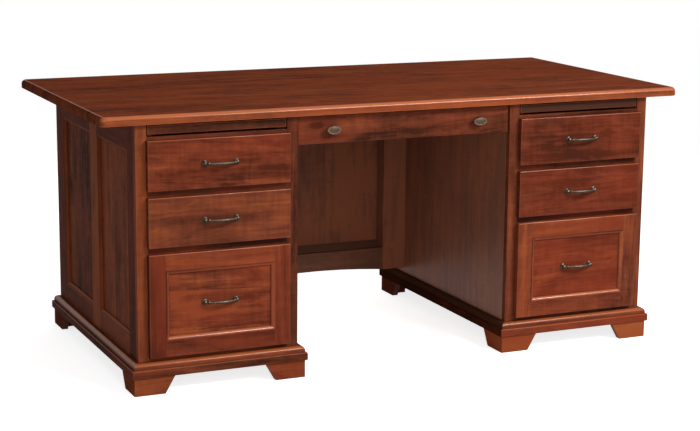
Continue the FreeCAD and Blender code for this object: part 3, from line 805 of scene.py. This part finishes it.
class DESK_OT_drawers(bpy.types.Operator):
    """Finish the drawer fronts and boxes"""

    bl_idname = "desk.drawers"
    bl_label = "Drawers"

    def execute(self, context):
        for side in SIDES:
            for level in ("upper", "lower"):
                drawer = side + "_" + level
                tone, figured = DRAWER_LOOKS[drawer]
                boards(drawer + "_drawer_front", STAINED, rounded=True, tone=tone, figured=figured,
                       rubbed=0.5, edge_gloss=1.0)
                boards(drawer + "_drawer_box", BOX_WOOD)
            boards(side + "_file_drawer_front_frame", STAINED, rounded=True, tones=FILE_FRAME_TONES[side],
                   warmth_and_shade_grey=0.15, figured=1.3, rubbed=0.5, edge_gloss=1.0)
            # The beads carry painted light and shade.
            boards(side + "_file_drawer_front_panel", STAINED, eased=False, tone=0.06,
                   tones=FILE_PANEL_TONES[side], warmth_and_shade_grey=0.3, figured=2.2, rubbed=0.7, edge_gloss=1.0)
            boards(side + "_file_drawer_box", BOX_WOOD)
        boards("center_drawer_front", STAINED, rounded=True, tone=-0.1, warmth_and_shade_grey=-0.2, figured=1.1)
        boards("center_drawer_box", BOX_WOOD)
        return {"FINISHED"}


class DESK_OT_slides(bpy.types.Operator):
    """Plate the steel slides, whose CAD shape is already right"""

    bl_idname = "desk.slides"
    bl_label = "Drawer slides"

    def execute(self, context):
        zinc = finish("steel_zinc_plated")
        for node, steel in frame["nodes"].items():
            if node.endswith("_slides") or node == "slide_case_members":
                steel.data.materials.clear()
                steel.data.materials.append(zinc)
        return {"FINISHED"}


class DESK_OT_bow_pulls(bpy.types.Operator):
    """Cast the bow pulls: a rosette and ball at each end, and a bowed bar with a collar at each ball"""

    bl_idname = "desk.bow_pulls"
    bl_label = "Bow pulls"

    # Foot, from the drawer front outwards: rosette, waist and ball, as radius and reach in mm.
    FOOT = ((0, 0), (9.5, 0), (9.5, 1.2), (8.6, 2.3), (6.2, 3.0), (5.0, 4.4), (5.3, 6.4), (5.9, 8.4),
            (5.6, 10.2), (4.4, 11.8), (2.4, 12.8), (0, 13.2))
    BALL_REACH = 8.4
    # Hands and the light come from this side, which is rubbed and painted bright as a highlight: where that
    # begins, over how much it grows, and the most on a foot.
    LIT_AND_HANDLED = Vector((0, -0.42, 0.91))
    WEAR_AND_LIGHT_FROM = 0.35
    WEAR_AND_LIGHT_OVER = 0.6
    FOOT_WEAR_AND_LIGHT = 0.6
    MIDDLE_WEAR_AND_LIGHT = 0.32
    # Radius beside a collar's crest, as a share of the crest's.
    COLLAR_SHOULDER = 0.88

    def execute(self, context):
        for node in frame["nodes"]:
            if node.endswith("_pull"):
                self.cast(node, context.scene.desk_sizes)
        return {"FINISHED"}

    def cast(self, node, sizes):
        """Cast one pull inside the box of its CAD node."""
        low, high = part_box(node)
        rosette = (high.z - low.z) / 2
        height = (low.z + high.z) / 2
        ends = [Vector((low.x + rosette, high.y, height)), Vector((high.x - rosette, high.y, height))]
        bm = bmesh.new()
        rubbed = bm.verts.layers.float.new("rubbed")
        for end in ends:
            foot = [(radius * MM, reach * MM) for radius, reach in self.FOOT]
            ball = end - Vector((0, self.BALL_REACH * MM, 0))
            for vert in lathe(bm, foot, end):
                vert[rubbed] = self.wear(vert, ball, self.FOOT_WEAR_AND_LIGHT)
        self.bow(bm, ends, high.y - low.y, sizes, rubbed)
        bmesh.ops.recalc_face_normals(bm, faces=bm.faces)
        mark_sharp(bm)
        piece_from(bm, node + "_finished", finish("bronze_cast_darkened"), body_of(node), [node])

    def wear(self, vert, centre, most):
        """Hands rub the side that faces up and out, and it is painted bright as a highlight; the rest keeps
        its dark patina.
        """
        facing = (vert.co - centre).normalized().dot(self.LIT_AND_HANDLED)
        return most * max(0.0, min(1.0, (facing - self.WEAR_AND_LIGHT_FROM) / self.WEAR_AND_LIGHT_OVER))

    def bow(self, bm, ends, reach, sizes, rubbed):
        """Bridge rings along an arc from ball to ball, swelling at the collars and at the middle."""
        half_span = (ends[1].x - ends[0].x) / 2
        start = self.BALL_REACH * MM
        rise = reach - sizes.pull_middle - start
        radius = (half_span ** 2 + rise ** 2) / (2 * rise)
        half_turn = math.asin(half_span / radius)
        centre = (ends[0] + ends[1]) / 2 + Vector((0, radius * math.cos(half_turn) - start, 0))
        between = (sizes.pull_neck + sizes.pull_middle) / 2
        shoulder = self.COLLAR_SHOULDER * sizes.pull_collar
        # Rings from a ball to the middle: share of the half turn, radius, and most wear and painted
        # highlight.
        stations = [(1.0, sizes.pull_neck, 0.1), (0.83, sizes.pull_neck, 0.1), (0.81, shoulder, 0.5),
                    (0.785, sizes.pull_collar, 0.7), (0.76, shoulder, 0.5), (0.74, sizes.pull_neck, 0.2),
                    (0.55, sizes.pull_neck, 0.25), (0.35, between, 0.3),
                    (0.17, sizes.pull_middle, self.MIDDLE_WEAR_AND_LIGHT)]
        whole = [(-share, size, worn) for share, size, worn in stations]
        whole += [(0.0, sizes.pull_middle, self.MIDDLE_WEAR_AND_LIGHT)] + stations[::-1]
        upright = Matrix.Rotation(math.pi / 2, 4, "Y")
        rings = []
        for share, size, worn in whole:
            turn = share * half_turn
            place = centre + Vector((radius * math.sin(turn), -radius * math.cos(turn), 0))
            matrix = Matrix.Translation(place) @ Matrix.Rotation(turn, 4, "Z") @ upright
            ring = bmesh.ops.create_circle(bm, cap_ends=abs(share) == 1.0, segments=TURNED_STEPS // 2,
                                           radius=size, matrix=matrix)["verts"]
            for vert in ring:
                vert[rubbed] = self.wear(vert, place, worn)
            rings.append(list(dict.fromkeys(edge for vert in ring for edge in vert.link_edges)))
        for near, far in zip(rings, rings[1:]):
            bmesh.ops.bridge_loops(bm, edges=near + far)


class DESK_OT_oval_knobs(bpy.types.Operator):
    """Cast the oval knobs: a turned stem and a low-domed oval head with a raised rim"""

    bl_idname = "desk.oval_knobs"
    bl_label = "Oval knobs"

    # Head, from its back outwards: edge, rim, groove and low dome, as radius and reach in mm.
    HEAD = ((0, 0), (11.0, 0), (12.5, 0.9), (13.0, 2.4), (13.0, 4.6), (12.5, 6.6), (11.6, 7.7), (10.7, 7.8),
            (10.1, 7.2), (9.6, 7.0), (8.8, 7.3), (6.0, 8.3), (3.0, 8.85), (0, 9.0))
    # Radius of the groove in mm, and how bright the metal is rubbed outside it and elsewhere.
    GROOVE = 9.6
    RIM_WEAR = 0.6
    LEAST_WEAR = 0.1

    def execute(self, context):
        sizes = context.scene.desk_sizes
        node = "center_drawer_knobs"
        low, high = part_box(node)
        head_half = (high.z - low.z) / 2
        oval_half = sizes.knob_length / 2
        height = (low.z + high.z) / 2
        head_back = high.y - low.y - sizes.knob_head
        bm = bmesh.new()
        rubbed = bm.verts.layers.float.new("rubbed")
        stem = self.stem_profile(sizes.knob_stem, head_back)
        head_profile = [(radius * MM, head_back + reach * MM) for radius, reach in self.HEAD]
        for x in (low.x + oval_half, high.x - oval_half):
            seat = Vector((x, high.y, height))
            for vert in lathe(bm, stem, seat):
                vert[rubbed] = self.LEAST_WEAR
            head = lathe(bm, head_profile, seat)
            for vert in head:
                out = math.hypot(vert.co.x - x, vert.co.z - height)
                vert[rubbed] = self.RIM_WEAR if out > self.GROOVE * MM else self.LEAST_WEAR
            bmesh.ops.scale(bm, vec=(oval_half / head_half, 1, 1), verts=head,
                            space=Matrix.Translation(-seat))
        bmesh.ops.recalc_face_normals(bm, faces=bm.faces)
        mark_sharp(bm)
        piece_from(bm, node + "_finished", finish("pewter_cast_satin"), body_of(node), [node])
        return {"FINISHED"}

    def stem_profile(self, radius, head_back):
        """A flared seat, a waist, and an end let 1 mm into the head."""
        seat = 1.5 * radius
        waist = 0.8 * radius
        return [(0, 0), (seat, 0), (seat, 1.2 * MM), (radius, 3 * MM), (waist, 0.6 * head_back),
                (radius, head_back + MM), (0, head_back + MM)]


# Softboxes: place, the point that they face, and width and height, in metres.
SOFTBOXES = {
    "key": ((1.9, -3.45, 3.1), (0, -0.3, 0.5), (2.2, 0.6)),
    "fill": ((-1.1, -3.2, 1.45), (0.1, 0, 0.4), (1.2, 2.2)),
    "back": ((0.8, 3.8, 1.3), (0, 0.4, 0.45), (2.4, 1.4)),
    "strip": ((1.3, -3.3, 1.55), (0.2, -0.4, 0.75), (2.8, 0.35)),
}
UNMIRRORED = ("back",)
WHITE = (1, 1, 1, 1)
# Radii between which the floor fades away, its facets, and its own light where it is seen.
FLOOR_FADE = (1.6, 4.0)
FLOOR_STEPS = 96
FLOOR_GLOW = 0.78


def softbox(name, place, target, size, watts, mirrored):
    """A rectangular area lamp turned towards a point, which polished surfaces may or may not mirror."""
    lamp = bpy.data.lights.new(name, "AREA")
    lamp.shape = "RECTANGLE"
    lamp.size, lamp.size_y = size
    lamp.energy = watts
    holder = bpy.data.objects.new(name, lamp)
    holder.location = place
    holder.visible_camera = False
    holder.visible_glossy = mirrored
    bpy.context.scene.collection.objects.link(holder)
    holder.rotation_euler = (Vector(target) - holder.location).to_track_quat("-Z", "Y").to_euler()


def seen_directly(tree):
    """1 for rays that show the backdrop itself: camera, mirror and see-through rays."""
    path = add_node(tree, "ShaderNodeLightPath", {}, {})
    some = calc(tree, "ADD", path.outputs["Is Camera Ray"], path.outputs["Is Glossy Ray"])
    return calc(tree, "ADD", some, path.outputs["Is Transmission Ray"], clamp=True)


class DESK_OT_studio(bpy.types.Operator):
    """Set the floor, the light and the camera"""

    bl_idname = "desk.studio"
    bl_label = "Studio"

    def execute(self, context):
        scene = context.scene
        studio = scene.desk_studio
        scene.view_settings.view_transform = "Standard"
        self.lay_floor(scene.desk_colours.floor)
        self.light_world(studio.surround)
        powers = {"key": studio.key_power, "fill": studio.fill_power, "back": studio.back_power,
                  "strip": studio.strip_power}
        for name, (place, target, size) in SOFTBOXES.items():
            softbox(name + "_softbox", place, target, size, powers[name], name not in UNMIRRORED)
        camera = bpy.data.cameras.new("camera")
        camera.lens = studio.camera_lens
        holder = bpy.data.objects.new("camera", camera)
        scene.collection.objects.link(holder)
        turn = (Matrix.Rotation(-studio.camera_heading, 4, "Z")
                @ Matrix.Rotation(math.pi / 2 - studio.camera_pitch, 4, "X")
                @ Matrix.Rotation(studio.camera_roll, 4, "Z"))
        holder.matrix_world = Matrix.Translation(studio.camera_place) @ turn
        scene.camera = holder
        return {"FINISHED"}

    def lay_floor(self, floor_colour):
        """Round pale floor that fades into the white backdrop beyond the shadow."""
        bm = bmesh.new()
        bmesh.ops.create_circle(bm, cap_ends=True, segments=FLOOR_STEPS, radius=FLOOR_FADE[1])
        mesh = bpy.data.meshes.new("floor")
        bm.to_mesh(mesh)
        bm.free()
        material, tree, shader = new_material("studio_floor_matt_white")
        shader.inputs["Base Color"].default_value = floor_colour
        shader.inputs["Roughness"].default_value = 0.9
        shader.inputs["Specular IOR Level"].default_value = 0.0
        shader.inputs["Emission Color"].default_value = WHITE
        glow = calc(tree, "MULTIPLY", seen_directly(tree), FLOOR_GLOW)
        tree.links.new(glow, shader.inputs["Emission Strength"])
        place = add_node(tree, "ShaderNodeTexCoord", {}, {}).outputs["Object"]
        far = add_node(tree, "ShaderNodeVectorMath", {"operation": "LENGTH"}, {0: place})
        fade = add_node(tree, "ShaderNodeMapRange", {"interpolation_type": "SMOOTHSTEP"},
                        {"Value": far.outputs["Value"], "From Min": FLOOR_FADE[0],
                         "From Max": FLOOR_FADE[1]})
        clear = add_node(tree, "ShaderNodeBsdfTransparent", {}, {})
        faded = add_node(tree, "ShaderNodeMixShader", {},
                         {0: fade.outputs[0], 1: shader.outputs["BSDF"], 2: clear.outputs[0]})
        tree.links.new(faded.outputs[0], tree.nodes["Material Output"].inputs["Surface"])
        mesh.materials.append(material)
        floor = bpy.data.objects.new("floor", mesh)
        bpy.context.scene.collection.objects.link(floor)

    def light_world(self, surround):
        """Even light all round, behind which the backdrop itself is white."""
        world = bpy.data.worlds.new("studio")
        world.use_nodes = True
        tree = world.node_tree
        tree.nodes.clear()
        even = add_node(tree, "ShaderNodeBackground", {}, {"Color": WHITE, "Strength": surround})
        white = add_node(tree, "ShaderNodeBackground", {}, {"Color": WHITE, "Strength": 1.0})
        both = add_node(tree, "ShaderNodeMixShader", {},
                        {0: seen_directly(tree), 1: even.outputs[0], 2: white.outputs[0]})
        add_node(tree, "ShaderNodeOutputWorld", {}, {"Surface": both.outputs[0]})
        bpy.context.scene.world = world


OPERATORS = (DESK_OT_work_top, DESK_OT_case_sides, DESK_OT_case_fronts_and_backs, DESK_OT_bases,
             DESK_OT_case_insides, DESK_OT_modesty, DESK_OT_writing_boards, DESK_OT_drawers, DESK_OT_slides,
             DESK_OT_bow_pulls, DESK_OT_oval_knobs, DESK_OT_studio)


class DESK_PT_pieces(bpy.types.Panel):
    """Buttons for the desk's pieces"""

    bl_idname = "DESK_PT_pieces"
    bl_label = "Pedestal desk"
    bl_space_type = "VIEW_3D"
    bl_region_type = "UI"
    bl_category = "Desk"

    def draw(self, context):
        for operator in OPERATORS:
            self.layout.operator(operator.bl_idname)


GROUPS = {"desk_sizes": DeskSizes, "desk_colours": DeskColours, "desk_studio": DeskStudio}


def register():
    for group in GROUPS.values():
        bpy.utils.register_class(group)
    for name, group in GROUPS.items():
        setattr(bpy.types.Scene, name, PointerProperty(type=group))
    for piece in (*OPERATORS, DESK_PT_pieces):
        bpy.utils.register_class(piece)


def unregister():
    for piece in (DESK_PT_pieces, *reversed(OPERATORS)):
        bpy.utils.unregister_class(piece)
    for name, group in GROUPS.items():
        delattr(bpy.types.Scene, name)
        bpy.utils.unregister_class(group)


def main():
    register()
    bpy.ops.desk.work_top()
    bpy.ops.desk.case_sides()
    bpy.ops.desk.case_fronts_and_backs()
    bpy.ops.desk.bases()
    bpy.ops.desk.case_insides()
    bpy.ops.desk.modesty()
    bpy.ops.desk.writing_boards()
    bpy.ops.desk.drawers()
    bpy.ops.desk.slides()
    bpy.ops.desk.bow_pulls()
    bpy.ops.desk.oval_knobs()
    bpy.ops.desk.studio()


if __name__ == "__main__":
    main()
